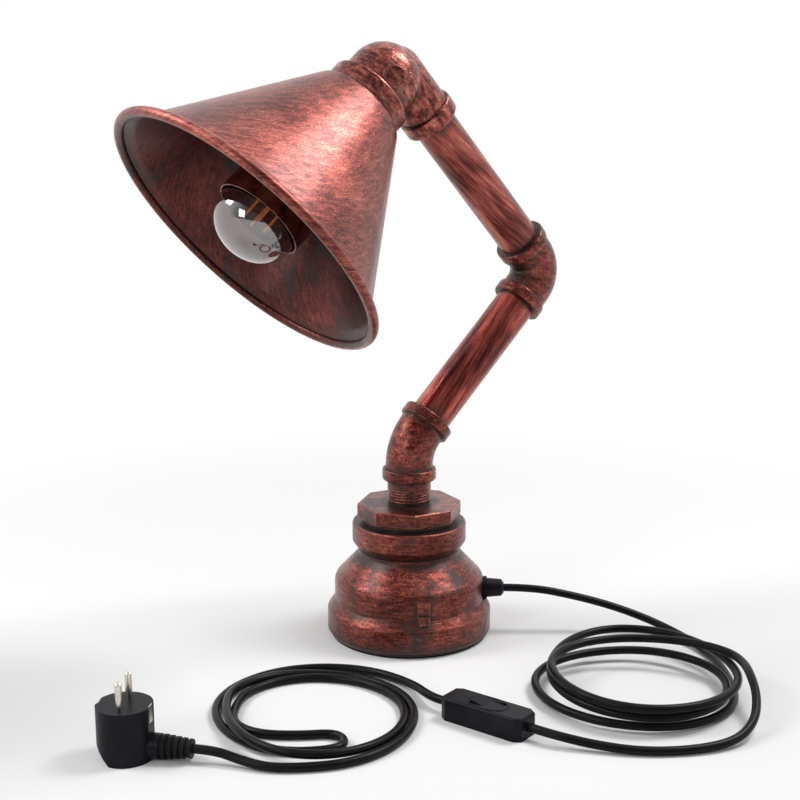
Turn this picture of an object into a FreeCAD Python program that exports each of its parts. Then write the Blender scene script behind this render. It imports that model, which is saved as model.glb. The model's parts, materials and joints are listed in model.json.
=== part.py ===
import FreeCAD, Part
import Sketcher
import math
import os
import re
from types import SimpleNamespace

# Table lamp made of malleable iron pipe fittings.
# Frame: millimetres, +Z up, origin on the floor under the middle of the base,
# +Y away from the viewer. Arms lean to the back right and return to the front left.

SIZES = {
    # Pipe and swivel fits
    "pipe_radius": 16.85, "pipe_bore": 13.6, "riser_radius": 17.1, "fit_clearance": 0.05,
    # Base: foot pad and turned casting
    "pad_radius": 64.5, "pad_thickness": 1.8,
    "foot_radius": 65.3, "foot_bead_radius": 67.5, "foot_bead_low": 5.0, "foot_bead_top": 22.0,
    "body_radius": 61.5, "body_low": 30.0, "body_top": 48.5, "shoulder_round": 10.0,
    "neck_radius": 41.6, "neck_low": 69.5, "neck_top": 72.0, "collar_radius": 46.7,
    "collar_low": 80.0, "collar_top": 95.5, "bead_round": 2.0,
    "foot_wall": 8.8, "foot_bore_top": 25.0, "body_wall": 6.5, "cavity_top": 44.0,
    "throat_low": 66.0, "rib_width": 10.0, "rib_height": 1.8, "rib_turn": 11.3,
    "lug_depth": 4.0, "lug_height": 7.0,
    # Reducing bushing with its eight-sided head
    "shank_radius": 37.4, "shank_low": 72.0, "head_low": 100.0, "head_height": 11.0,
    "head_flats": 78.9, "head_turn": 7.1, "head_chamfer": 0.8, "bushing_hollow": 29.0, "bushing_floor": 90.0,
    "riser_low": 86.0,
    # Forty-five degree elbow
    "low_bend_height": 159.15, "low_turn": 45.56, "low_heading": 35.4, "low_face": 28.5,
    "low_bend_radius": 42.0, "low_body_radius": 19.3, "low_bead_radius": 22.0,
    "elbow_bead_length": 9.5, "thread_depth": 14.0, "elbow_bore": 14.5, "elbow_round": 1.6,
    # Middle elbow
    "lower_arm_length": 190.42, "mid_turn": 89.3, "mid_roll": 2.3, "mid_face": 38.0,
    "mid_bend_radius": 21.0, "mid_body_radius": 19.7, "mid_bead_radius": 21.7,
    # Top reducing elbow
    "upper_arm_length": 227.85, "top_turn": 87.91, "top_roll": 178.58, "top_face": 55.0,
    "top_bead_radius": 22.4, "top_bead_length": 13.0, "top_body_radius": 20.0, "heel_drop": 4.0,
    "mouth_face": 43.5, "mouth_bead_radius": 33.4, "mouth_bead_length": 15.5,
    "ball_radius": 28.6, "ball_offset": 13.0, "mouth_bore": 26.4, "ball_bore": 23.4,
    "boss_radius": 9.0, "boss_height": 1.0, "top_round": 1.8,
    # Shade, inner cup and hardware along the shade axis
    "shade_wall": 1.2, "shade_hole": 8.0, "shade_top_radius": 37.0, "shade_length": 133.3,
    "shade_mouth_radius": 117.0, "shade_roll_radius": 3.75, "shade_round": 6.0,
    "shade_flare": 8.0, "shade_flare_length": 7.0, "flare_round": 8.0,
    "cup_radius": 35.2, "cup_wall": 1.0, "cup_length": 117.0, "cup_round": 10.5,
    "plug_disc_thickness": 9.0, "entry_radius": 5.0, "entry_bore": 3.6, "entry_length": 36.0,
    "entry_reach": 7.0,
    "nut_flats": 15.0, "nut_thickness": 4.0,
    "holder_radius": 20.0, "holder_length": 52.0, "holder_round": 6.0, "holder_bore": 14.2,
    "holder_floor": 24.0, "contact_height": 6.0, "bulb_cap_radius": 13.2, "bulb_cap_length": 26.0,
    "bulb_radius": 32.4, "bulb_dome": 26.5, "bulb_neck_radius": 14.6, "bulb_neck_length": 7.0,
    "bulb_middle": 122.0, "glass_wall": 0.9,
    "stem_radius": 4.0, "stem_length": 26.0, "filament_radius": 0.9, "filament_length": 34.0,
    "filament_circle": 9.0,
    # Cord gland in the side of the base
    "gland_height": 37.0, "gland_flange_radius": 9.5, "gland_flange": 3.0, "gland_radius": 8.0,
    "gland_tip_radius": 7.0, "gland_length": 17.0, "gland_thread_radius": 6.0,
    "gland_thread_length": 13.5, "nut_seat": 1.4,
    # Cord
    "cord_radius": 3.2, "right_climb": 7.3, "right_turns": 3.0,
    "left_step": 7.1, "left_quarters": 7.0,
    # In-line switch
    "switch_length": 68.0, "switch_width": 24.0, "switch_height": 17.0, "switch_split": 8.0,
    "switch_taper": 5.0, "switch_end_width": 17.0, "switch_round": 2.0, "cord_height": 8.5,
    "well_length": 25.0, "well_width": 13.0, "well_depth": 8.0, "rocker_gap": 0.8,
    "rocker_rise": 2.2, "rocker_tilt": 8.0, "rocker_pin_radius": 1.2,
    # Mains plug
    "plug_radius": 19.5, "plug_height": 38.0, "plug_cut": 14.0, "plug_flat": 18.6,
    "plug_pin_radius": 2.4, "plug_pin_length": 19.0, "plug_pin_spacing": 19.0,
    "plug_pin_depth": 6.0, "plug_clip_width": 6.0, "plug_clip_length": 12.0,
    "plug_clip_thickness": 0.8, "plug_exit_height": 9.0, "plug_neck_radius": 8.8,
    "plug_neck_reach": 25.0, "relief_length": 22.0, "relief_end_radius": 6.4, "relief_ribs": 5,
}
S = SimpleNamespace(**SIZES)

# Places chosen on the floor, and headings in degrees from +X.
SWITCH_CENTRE = (57.3, -185.4)
SWITCH_HEADING = -36.5
PLUG_CENTRE = (-189.5, -236.0)
PLUG_HEADING = -9.0

doc = FreeCAD.newDocument("PipeLamp")
sheet = doc.addObject("Spreadsheet::Sheet", "Sizes")
for row, (alias, value) in enumerate(SIZES.items(), start=1):
    sheet.set("A%d" % row, alias.replace("_", " "))
    sheet.set("B%d" % row, str(value))
    sheet.setAlias("B%d" % row, alias)
doc.recompute()

Vector = FreeCAD.Vector
Rotation = FreeCAD.Rotation
Placement = FreeCAD.Placement
nodes = {}


def bound(text):
    """Put the sheet's name before every alias in an expression."""
    return re.sub(r"[a-z_]+[a-z]", lambda m: "Sizes." + m.group() if m.group() in SIZES else m.group(), text)


def keep(name, item, place=None):
    item.Label = name
    if place is not None:
        item.Placement = place
    nodes[name] = item
    return item


def make(kind, name, place=None, **sizes):
    """Add a primitive whose properties follow the sheet."""
    item = doc.addObject(kind, name)
    for prop, text in sizes.items():
        item.setExpression(prop, bound(text))
    if place is not None:
        item.Placement = place
    return item


def fuse(name, pieces):
    item = doc.addObject("Part::MultiFuse", name)
    item.Shapes = pieces
    item.Refine = True
    return item


def cut(name, base, tool):
    item = doc.addObject("Part::Cut", name)
    item.Base = base
    item.Tool = tool
    item.Refine = True
    return item


def at(x, y, z, axis=None, angle=0.0):
    turn = Rotation(axis, angle) if axis is not None else Rotation()
    return Placement(Vector(x, y, z), turn)


def origin_plane(body, role):
    return next(f for f in body.Origin.OriginFeatures if f.Role == role)


def outline(body, name, corners, role="XZ_Plane"):
    """Draw a closed outline whose corner places follow the sheet."""
    sketch = body.newObject("Sketcher::SketchObject", name)
    sketch.AttachmentSupport = (origin_plane(body, role), [""])
    sketch.MapMode = "FlatFace"
    count = len(corners)
    start = [Vector(60 + 40 * math.cos(2 * math.pi * i / count),
                    60 + 40 * math.sin(2 * math.pi * i / count), 0) for i in range(count)]
    for i in range(count):
        sketch.addGeometry(Part.LineSegment(start[i], start[(i + 1) % count]), False)
    for i in range(count):
        sketch.addConstraint(Sketcher.Constraint("Coincident", i, 2, (i + 1) % count, 1))
    for i, (across, up) in enumerate(corners):
        for direction, text, line, current in (("DistanceX", across, -2, start[i].x),
                                               ("DistanceY", up, -1, start[i].y)):
            if text == "0":
                sketch.addConstraint(Sketcher.Constraint("PointOnObject", i, 1, line))
            else:
                index = sketch.addConstraint(Sketcher.Constraint(direction, -1, 1, i, 1, current))
                sketch.setExpression("Constraints[%d]" % index, bound(text))
    return sketch


def rings(shape, wanted):
    """Names of the circular edges at given radii and heights."""
    found = []
    for number, edge in enumerate(shape.Edges, start=1):
        if not isinstance(edge.Curve, Part.Circle):
            continue
        for radius, height in wanted:
            if abs(edge.Curve.Radius - radius) < 0.02 and abs(edge.Curve.Center.z - height) < 0.02:
                found.append("Edge%d" % number)
    return found


def turned(name, corners, rounds=(), place=None):
    """A body turned about its own Z axis, with rounded edges."""
    body = doc.addObject("PartDesign::Body", name + "_body")
    sketch = outline(body, name + "_outline", corners)
    last = body.newObject("PartDesign::Revolution", name + "_turned")
    last.Profile = sketch
    last.ReferenceAxis = (sketch, ["V_Axis"])
    last.Angle = 360
    doc.recompute()
    for order, (alias, wanted) in enumerate(rounds):
        edges = rings(last.Shape, wanted)
        if len(edges) != len(wanted):
            print("round on", name, alias, "found", len(edges), "of", len(wanted))
        rounding = body.newObject("PartDesign::Fillet", "%s_round_%d" % (name, order + 1))
        rounding.Base = (last, edges)
        rounding.setExpression("Radius", bound(alias))
        last = rounding
        doc.recompute()
    body.Tip = last
    return keep(name, body, place)


def padded(name, corners, length, rounds=None, place=None):
    """A body padded upward from an outline on its XY plane."""
    body = doc.addObject("PartDesign::Body", name + "_body")
    sketch = outline(body, name + "_outline", corners, "XY_Plane")
    pad = body.newObject("PartDesign::Pad", name + "_pad")
    pad.Profile = sketch
    pad.setExpression("Length", bound(length))
    doc.recompute()
    body.Tip = pad
    if rounds:
        rounding = body.newObject("PartDesign::Fillet", name + "_round")
        rounding.Base = (pad, rounds(pad.Shape))
        rounding.setExpression("Radius", bound("switch_round"))
        body.Tip = rounding
        doc.recompute()
    return keep(name, body, place)


# Directions and bend points of the arm chain
def upright(direction):
    up = Vector(0, 0, 1) - direction * direction.z
    return up.normalize()


def rolled(direction, roll):
    up = upright(direction)
    side = direction.cross(up)
    angle = math.radians(roll)
    return up * math.cos(angle) + side * math.sin(angle)


def bent(direction, across, turn):
    angle = math.radians(turn)
    return direction * math.cos(angle) + across * math.sin(angle)


def frame_of(point, across, along):
    """Placement whose local X is across and local Z is along."""
    return Placement(point, Rotation(across, along.cross(across), along, "ZXY"))


heading = math.radians(S.low_heading)
low_across = Vector(math.cos(heading), math.sin(heading), 0)
UP = Vector(0, 0, 1)
lower_dir = bent(UP, low_across, S.low_turn)
mid_across = rolled(lower_dir, S.mid_roll)
upper_dir = bent(lower_dir, mid_across, S.mid_turn)
top_across = rolled(upper_dir, S.top_roll)
shade_dir = bent(upper_dir, top_across, S.top_turn)
low_point = Vector(0, 0, S.low_bend_height)
mid_point = low_point + lower_dir * S.lower_arm_length
top_point = mid_point + upper_dir * S.upper_arm_length
low_frame = frame_of(low_point, low_across, UP)
mid_frame = frame_of(mid_point, mid_across, lower_dir)
top_frame = frame_of(top_point, top_across, upper_dir)
head_frame = frame_of(top_point, upper_dir * -1, shade_dir)
for label, point in (("low bend", low_point), ("mid bend", mid_point), ("top bend", top_point),
                     ("lower arm", lower_dir), ("upper arm", upper_dir), ("shade axis", shade_dir)):
    print(label, [round(c, 4) for c in point])

# Base: foot pad, turned casting with two ribs, gland hole
turned("foot_pad", [("0", "0"), ("pad_radius", "0"), ("pad_radius", "pad_thickness"),
                    ("0", "pad_thickness")])
casting = turned("base_casting", [
    ("foot_radius - foot_wall", "pad_thickness"), ("foot_radius", "pad_thickness"),
    ("foot_bead_radius", "foot_bead_low"), ("foot_bead_radius", "foot_bead_top"),
    ("body_radius", "body_low"), ("body_radius", "body_top"), ("neck_radius", "neck_low"),
    ("neck_radius", "neck_top"), ("collar_radius", "collar_low"), ("collar_radius", "collar_top"),
    ("shank_radius + fit_clearance", "collar_top"), ("shank_radius + fit_clearance", "throat_low"),
    ("body_radius - body_wall", "cavity_top"), ("body_radius - body_wall", "foot_bore_top"),
    ("foot_radius - foot_wall", "foot_bore_top"),
], rounds=[
    ("shoulder_round", [(S.body_radius, S.body_top)]),
    ("bead_round", [(S.neck_radius, S.neck_low), (S.collar_radius, S.collar_low),
                    (S.collar_radius, S.collar_top), (S.body_radius, S.body_low)]),
    ("bead_round * 2", [(S.foot_bead_radius, S.foot_bead_top)]),
])
del nodes["base_casting"]


def rib(name, turn):
    """A flat rib that follows the casting's wall, at a heading about Z."""
    body = doc.addObject("PartDesign::Body", name + "_body")
    pad = body.newObject("PartDesign::Pad", name)
    pad.Profile = outline(body, name + "_outline", [
        ("body_radius - 3", "body_low - 2"), ("body_radius + rib_height", "body_low - 2"),
        ("body_radius + rib_height", "body_top - 6"),
        ("neck_radius + rib_height * 2", "neck_low - 5"), ("neck_radius - 1", "neck_low - 5"),
        ("body_radius - 3", "body_top - 10")])
    pad.setExpression("Length", bound("rib_width"))
    pad.Midplane = True
    body.Tip = pad
    body.Placement = at(0, 0, 0, UP, turn)
    return body


SIDEWAYS = Rotation(Vector(0, 1, 0), 90)
lug = make("Part::Box", "rib_lug", None, Length="lug_depth", Width="rib_width * 0.8", Height="lug_height")
lug.Placement = at(0, 0, 0, UP, -90 + S.rib_turn).multiply(
    at(S.body_radius - 0.2, -S.rib_width * 0.4, S.body_low - 3.0))
gland_hole = make("Part::Cylinder", "gland_hole", None,
                  Radius="gland_thread_radius + fit_clearance", Height="body_radius")
gland_hole.Placement = Placement(Vector((S.body_radius - S.body_wall) / 2, 0, S.gland_height), SIDEWAYS)
keep("base_reducer", cut("base_drilled", fuse("base_ribbed", [
    casting, rib("front_rib", -90 + S.rib_turn), rib("back_rib", 90 + S.rib_turn), lug]), gland_hole))

# Reducing bushing: eight-sided head on a threaded shank, hollow from below
head = make("Part::Prism", "bushing_head", at(0, 0, S.head_low, UP, -90 + S.head_turn),
            Circumradius="head_flats / 2 / cos(22.5)", Height="head_height")
head.Polygon = 8
shank = make("Part::Cylinder", "bushing_shank", at(0, 0, S.shank_low),
             Radius="shank_radius", Height="head_low - shank_low")
hollow = make("Part::Cylinder", "bushing_hollow", at(0, 0, S.shank_low - 1),
              Radius="bushing_hollow", Height="bushing_floor - shank_low + 1")
riser_hole = make("Part::Cylinder", "riser_hole", at(0, 0, S.shank_low),
                  Radius="riser_radius + fit_clearance", Height="head_low + head_height - shank_low + 1")
bushing = cut("bushing_bored", fuse("bushing_solid", [head, shank]),
              fuse("bushing_bores", [hollow, riser_hole]))
doc.recompute()
softened = doc.addObject("Part::Chamfer", "bushing_softened")
softened.Base = bushing
top = S.head_low + S.head_height
softened.Edges = [(n, S.head_chamfer, S.head_chamfer) for n, e in enumerate(bushing.Shape.Edges, start=1)
                  if isinstance(e.Curve, Part.Line) and abs(e.CenterOfMass.z - top) < 0.01]
keep("base_bushing", softened)


def pipe(name, radius, low, high, place):
    """A pipe with its bore, along the local Z axis between two distances."""
    return turned(name, [("pipe_bore", low), (radius, low), (radius, high), ("pipe_bore", high)],
                  place=place)


pipe("riser_nipple", "riser_radius", "riser_low",
     "low_bend_height - low_face + thread_depth", None)


def leg(name, turn, lengths, radius):
    """A cylinder along the outlet of a bend, turned away from the inlet by an angle."""
    start, length = lengths
    item = make("Part::Cylinder", name, None, Radius=radius, Height=length)
    direction = bent(UP, Vector(1, 0, 0), turn)
    item.Placement = Placement(direction * start, Rotation(Vector(0, 1, 0), turn))
    return item


def bend(name, turn, bend_key, radius_text):
    """A piece of torus that joins the inlet leg to the outlet leg."""
    ring = make("Part::Torus", name, None, Radius1=bend_key, Radius2=radius_text)
    ring.Angle3 = turn
    radius = getattr(S, bend_key)
    ring.Placement = Placement(Vector(radius, 0, -radius * math.tan(math.radians(turn / 2))),
                               Rotation(Vector(-1, 0, 0), Vector(0, 0, 1), Vector(0, 1, 0), "XYZ"))
    return ring


def elbow(name, frame, key, inlet_radius):
    """A beaded elbow, bored through and counterbored for a pipe at each end."""
    turn, face = getattr(S, key + "_turn"), getattr(S, key + "_face")
    radius = getattr(S, key + "_bend_radius")
    tangent = radius * math.tan(math.radians(turn / 2))
    bend_key, body = key + "_bend_radius", key + "_body_radius"
    straight = "%s_face - %s_bend_radius * tan(%s_turn / 2)" % (key, key, key)
    solid = fuse(name + "_solid", [
        bend(name + "_bend", turn, bend_key, body),
        make("Part::Cylinder", name + "_in", at(0, 0, -face), Radius=body, Height=straight),
        leg(name + "_out", turn, (tangent, straight), body),
        make("Part::Cylinder", name + "_bead_in", at(0, 0, -face),
             Radius=key + "_bead_radius", Height="elbow_bead_length"),
        leg(name + "_bead_out", turn, (face - S.elbow_bead_length, "elbow_bead_length"),
            key + "_bead_radius")])
    bores = fuse(name + "_bores", [
        bend(name + "_way", turn, bend_key, "elbow_bore"),
        make("Part::Cylinder", name + "_way_in", at(0, 0, -face), Radius="elbow_bore", Height=straight),
        leg(name + "_way_out", turn, (tangent, straight), "elbow_bore"),
        make("Part::Cylinder", name + "_socket_in", at(0, 0, -face),
             Radius=inlet_radius + " + fit_clearance", Height="thread_depth"),
        leg(name + "_socket_out", turn, (face - S.thread_depth, "thread_depth"),
            "pipe_radius + fit_clearance")])
    bored = cut(name + "_bored", solid, bores)
    doc.recompute()
    rounding = doc.addObject("Part::Fillet", name + "_rounded")
    rounding.Base = bored
    bead = getattr(S, key + "_bead_radius")
    rounding.Edges = [(n, S.elbow_round, S.elbow_round) for n, e in enumerate(bored.Shape.Edges, start=1)
                      if isinstance(e.Curve, Part.Circle) and abs(e.Curve.Radius - bead) < 0.01]
    return keep(name, rounding, frame)


elbow("elbow_low", low_frame, "low", "riser_radius")
pipe("lower_pipe", "pipe_radius", "low_face - thread_depth",
     "lower_arm_length - mid_face + thread_depth", frame_of(low_point, mid_across, lower_dir))
elbow("elbow_middle", mid_frame, "mid", "pipe_radius")
pipe("upper_pipe", "pipe_radius", "mid_face - thread_depth",
     "upper_arm_length - top_face + thread_depth", frame_of(mid_point, top_across, upper_dir))

# Top reducing elbow: narrow inlet, ball body and wide mouth
mouth = bent(UP, Vector(1, 0, 0), S.top_turn)
ball_place = Placement(mouth * S.ball_offset, Rotation(Vector(0, 1, 0), S.top_turn))
boss_dir = Vector(0.17, 0.94, 0.29).normalize()
boss_place = Placement(mouth * S.ball_offset, Rotation(UP, boss_dir))
top_solid = fuse("top_solid", [
    make("Part::Sphere", "top_ball", ball_place, Radius="ball_radius"),
    leg("top_neck", S.top_turn, (S.ball_offset, "mouth_face - ball_offset"), "ball_radius"),
    leg("top_mouth_bead", S.top_turn,
        (S.mouth_face - S.mouth_bead_length, "mouth_bead_length"), "mouth_bead_radius"),
    make("Part::Cylinder", "top_inlet", at(0, 0, -S.top_face), Radius="top_body_radius",
         Height="top_face - heel_drop"),
    make("Part::Sphere", "top_heel", at(0, 0, -S.heel_drop), Radius="top_body_radius"),
    make("Part::Cylinder", "top_inlet_bead", at(0, 0, -S.top_face), Radius="top_bead_radius",
         Height="top_bead_length"),
    make("Part::Cylinder", "top_boss", boss_place, Radius="boss_radius",
         Height="ball_radius + boss_height")])
top_bores = fuse("top_bores", [
    make("Part::Sphere", "top_hollow", ball_place, Radius="ball_bore"),
    leg("top_way_out", S.top_turn, (S.ball_offset, "mouth_face - ball_offset + 1"),
        "ball_bore"),
    leg("top_thread", S.top_turn,
        (S.mouth_face - S.mouth_bead_length, "mouth_bead_length + 1"), "mouth_bore"),
    make("Part::Cylinder", "top_way_in", at(0, 0, -S.top_face), Radius="elbow_bore",
         Height="top_face"),
    make("Part::Cylinder", "top_socket", at(0, 0, -S.top_face),
         Radius="pipe_radius + fit_clearance", Height="thread_depth")])
top_bored = cut("top_bored", top_solid, top_bores)
doc.recompute()
top_rounded = doc.addObject("Part::Fillet", "top_rounded")
top_rounded.Base = top_bored
top_rounded.Edges = [(n, S.top_round, S.top_round) for n, e in enumerate(top_bored.Shape.Edges, start=1)
                     if isinstance(e.Curve, Part.Circle)
                     and (abs(e.Curve.Radius - S.mouth_bead_radius) < 0.01
                          or abs(e.Curve.Radius - S.top_bead_radius) < 0.01)]
keep("elbow_top", top_rounded, top_frame)

# Shade: spun cone with a flat top, a rounded shoulder, a short flare and a rolled rim.
# Local Z runs from the top elbow's bend point along the shade's axis.
shade_profile = [
    ("shade_hole", "mouth_face"), ("shade_top_radius", "mouth_face"),
    ("shade_mouth_radius - shade_flare", "mouth_face + shade_length - shade_flare_length"),
    ("shade_mouth_radius", "mouth_face + shade_length"),
    ("shade_mouth_radius - shade_wall * 1.54", "mouth_face + shade_length"),
    ("shade_mouth_radius - shade_flare - shade_wall * 0.78",
     "mouth_face + shade_length - shade_flare_length + shade_wall * 0.65"),
    ("shade_top_radius - shade_wall * 0.57", "mouth_face + shade_wall"),
    ("shade_hole", "mouth_face + shade_wall")]
shade_cone = turned("shade_cone", shade_profile, place=None, rounds=[
    ("shade_round", [(S.shade_top_radius, S.mouth_face)]),
    ("flare_round", [
        (S.shade_mouth_radius - S.shade_flare, S.mouth_face + S.shade_length - S.shade_flare_length),
        (S.shade_mouth_radius - S.shade_flare - S.shade_wall * 0.78,
         S.mouth_face + S.shade_length - S.shade_flare_length + S.shade_wall * 0.65)]),
    ("shade_round - shade_wall", [(S.shade_top_radius - S.shade_wall * 0.57,
                                   S.mouth_face + S.shade_wall)])])
del nodes["shade_cone"]
shade_roll = make("Part::Torus", "shade_roll", at(0, 0, S.mouth_face + S.shade_length),
                  Radius1="shade_mouth_radius", Radius2="shade_roll_radius")
keep("shade", fuse("shade_whole", [shade_cone, shade_roll]), head_frame)

turned("holder_cup", [
    ("shade_hole", "mouth_face + shade_wall"), ("cup_radius", "mouth_face + shade_wall"),
    ("cup_radius", "mouth_face + shade_wall + cup_length"),
    ("cup_radius - cup_wall", "mouth_face + shade_wall + cup_length"),
    ("cup_radius - cup_wall", "mouth_face + shade_wall + cup_wall"),
    ("shade_hole", "mouth_face + shade_wall + cup_wall")],
    rounds=[("cup_round", [(S.cup_radius, S.mouth_face + S.shade_wall)]),
            ("cup_round - cup_wall", [(S.cup_radius - S.cup_wall,
                                       S.mouth_face + S.shade_wall + S.cup_wall)])],
    place=head_frame)
turned("mouth_plug", [
    ("entry_radius + fit_clearance", "mouth_face - plug_disc_thickness"),
    ("mouth_bore - fit_clearance", "mouth_face - plug_disc_thickness"),
    ("mouth_bore - fit_clearance", "mouth_face"),
    ("shade_hole - 1", "mouth_face"),
    ("shade_hole - 1", "mouth_face + shade_wall + cup_wall"),
    ("entry_radius + fit_clearance", "mouth_face + shade_wall + cup_wall")], place=head_frame)
turned("entry_tube", [
    ("entry_bore", "mouth_face - plug_disc_thickness - entry_reach"),
    ("entry_radius", "mouth_face - plug_disc_thickness - entry_reach"),
    ("entry_radius", "mouth_face - plug_disc_thickness - entry_reach + entry_length"),
    ("entry_bore", "mouth_face - plug_disc_thickness - entry_reach + entry_length")], place=head_frame)


def nut(name, low, hole_text, place):
    """A hexagon lock nut along the local Z axis."""
    block = make("Part::Prism", name + "_block", at(0, 0, low),
                 Circumradius="nut_flats / 2 / cos(30)", Height="nut_thickness")
    hole = make("Part::Cylinder", name + "_hole", at(0, 0, low - 1), Radius=hole_text,
                Height="nut_thickness + 2")
    return keep(name, cut(name + "_cut", block, hole), place)


nut("nut_upper", S.mouth_face - S.plug_disc_thickness - S.nut_thickness,
    "entry_radius + fit_clearance", head_frame)
nut("nut_lower", S.mouth_face + S.shade_wall + S.cup_wall,
    "entry_radius + fit_clearance", head_frame)
holder_low = "mouth_face + shade_wall + cup_wall + nut_thickness"
turned("lamp_holder", [
    ("entry_radius + fit_clearance", holder_low), ("holder_radius", holder_low),
    ("holder_radius", holder_low + " + holder_length"),
    ("holder_bore", holder_low + " + holder_length"),
    ("holder_bore", holder_low + " + holder_floor"),
    ("entry_radius + fit_clearance", holder_low + " + holder_floor")],
    rounds=[("holder_round", [(S.holder_radius, S.mouth_face + S.shade_wall + S.cup_wall
                               + S.nut_thickness)])], place=head_frame)

# Bulb: solid cap, thin glass, glass stem and four upright filaments
contact_low = S.mouth_face + S.shade_wall + S.cup_wall + S.nut_thickness + S.holder_floor
cap_low = contact_low + S.contact_height
cap_top = cap_low + S.bulb_cap_length
keep("lamp_contact", make("Part::Cylinder", "lamp_contact_pin", None, Radius="entry_radius",
                          Height="contact_height"),
     head_frame.multiply(at(0, 0, contact_low)))
turned("bulb_cap", [
    ("0", "0"), ("entry_radius", "0"), ("bulb_cap_radius", "4"),
    ("bulb_cap_radius", "bulb_cap_length - 2"), ("bulb_neck_radius", "bulb_cap_length - 2"),
    ("bulb_neck_radius", "bulb_cap_length"), ("0", "bulb_cap_length")],
    place=head_frame.multiply(at(0, 0, cap_low)))


def glass_form(name, inset):
    """Flattened dome, half ball, tangent cone and neck of the bulb, drawn in by an inset."""
    ball, neck = S.bulb_radius - inset, S.bulb_neck_radius - inset
    middle = S.mouth_face + S.bulb_middle
    cone_low = cap_top + S.bulb_neck_length
    rise = middle - cone_low
    slope = math.atan2(rise, neck) - math.acos(ball / math.hypot(neck, rise))
    cone = doc.addObject("Part::Cone", name + "_cone")
    cone.Radius1 = neck
    cone.Radius2 = ball * math.cos(slope)
    cone.Height = rise - ball * math.sin(slope)
    cone.Placement = at(0, 0, cone_low)
    low = cap_top if inset == 0 else cap_top - 1
    tube = doc.addObject("Part::Cylinder", name + "_neck")
    tube.Radius = neck
    tube.Height = cone_low - low
    tube.Placement = at(0, 0, low)
    back = doc.addObject("Part::Sphere", name + "_back")
    back.Radius = ball
    back.Angle2 = 0
    dome = doc.addObject("Part::Ellipsoid", name + "_dome")
    dome.Radius1 = S.bulb_dome - inset
    dome.Radius2 = ball
    dome.Radius3 = ball
    dome.Angle1 = 0
    back.Placement = dome.Placement = at(0, 0, middle)
    return fuse(name, [tube, cone, back, dome])


keep("bulb_glass", cut("glass_shell", glass_form("glass_outer", 0.0),
                       glass_form("glass_inner", S.glass_wall)), head_frame)
turned("bulb_stem", [
    ("0", "0"), ("stem_radius * 1.6", "0"), ("stem_radius", "stem_length / 3"),
    ("stem_radius", "stem_length - 1"), ("filament_circle + filament_radius", "stem_length - 1"),
    ("filament_circle + filament_radius", "stem_length"), ("0", "stem_length")],
    place=head_frame.multiply(at(0, 0, cap_top)))
for number in range(4):
    angle = math.radians(90 * number + 20)
    keep("filament_%d" % (number + 1),
         make("Part::Cylinder", "filament_rod_%d" % (number + 1), None, Radius="filament_radius",
              Height="filament_length"),
         head_frame.multiply(at(S.filament_circle * math.cos(angle),
                                S.filament_circle * math.sin(angle), cap_top + S.stem_length)))

# Cord gland through the side of the base, with its nut inside
turned("cord_gland", [
    ("0", "0"), ("gland_thread_radius", "0"), ("gland_thread_radius", "gland_thread_length"),
    ("gland_flange_radius", "gland_thread_length"),
    ("gland_flange_radius", "gland_thread_length + gland_flange"),
    ("gland_radius", "gland_thread_length + gland_flange"),
    ("gland_tip_radius", "gland_thread_length + gland_length - 2"),
    ("gland_tip_radius - 2.5", "gland_thread_length + gland_length"),
    ("0", "gland_thread_length + gland_length")],
    place=Placement(Vector(S.body_radius - S.gland_thread_length, 0, S.gland_height), SIDEWAYS))
gland_block = make("Part::Prism", "gland_nut_block", None, Circumradius="gland_flange_radius",
                   Height="nut_thickness")
gland_ring = make("Part::Cylinder", "gland_nut_hole", None,
                  Radius="gland_thread_radius + fit_clearance", Height="nut_thickness")
keep("gland_nut", cut("gland_nut_cut", gland_block, gland_ring),
     Placement(Vector(S.body_radius - S.body_wall - S.nut_seat - S.nut_thickness, 0, S.gland_height),
               SIDEWAYS))

# In-line switch: lower and upper half, rocker on a pin
switch_frame = at(SWITCH_CENTRE[0], SWITCH_CENTRE[1], 0, UP, SWITCH_HEADING)
corner = at(-S.switch_length / 2, -S.switch_width / 2, 0)
switch_outline = [
    ("0", "switch_width / 2 - switch_end_width / 2"), ("switch_taper", "0"),
    ("switch_length - switch_taper", "0"),
    ("switch_length", "switch_width / 2 - switch_end_width / 2"),
    ("switch_length", "switch_width / 2 + switch_end_width / 2"),
    ("switch_length - switch_taper", "switch_width"), ("switch_taper", "switch_width"),
    ("0", "switch_width / 2 + switch_end_width / 2")]


def rim_edges(height):
    """Edges of a solid that lie flat at one height."""
    return lambda shape: ["Edge%d" % n for n, e in enumerate(shape.Edges, start=1)
                          if abs(e.BoundBox.ZMin - height) < 0.01 and abs(e.BoundBox.ZMax - height) < 0.01]


padded("switch_base", switch_outline, "switch_split", place=switch_frame.multiply(corner))
cover = padded("switch_cover_solid", switch_outline, "switch_height - switch_split",
               rounds=rim_edges(S.switch_height - S.switch_split))
cover.Placement = corner
del nodes["switch_cover_solid"]
well = make("Part::Box", "switch_well", None, Length="well_length", Width="well_width",
            Height="well_depth + 1")
well.Placement = at(-S.well_length / 2, -S.well_width / 2,
                    S.switch_height - S.switch_split - S.well_depth)
pin_height = S.switch_height - 2.0
ACROSS = Rotation(Vector(1, 0, 0), -90)
pin_hole = make("Part::Cylinder", "switch_pin_hole", None, Radius="rocker_pin_radius",
                Height="well_width + 6")
pin_hole.Placement = Placement(Vector(0, -S.well_width / 2 - 3, pin_height - S.switch_split), ACROSS)
keep("switch_cover", cut("switch_cover_cut", cover, fuse("switch_cuts", [well, pin_hole])),
     switch_frame.multiply(at(0, 0, S.switch_split)))
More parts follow.
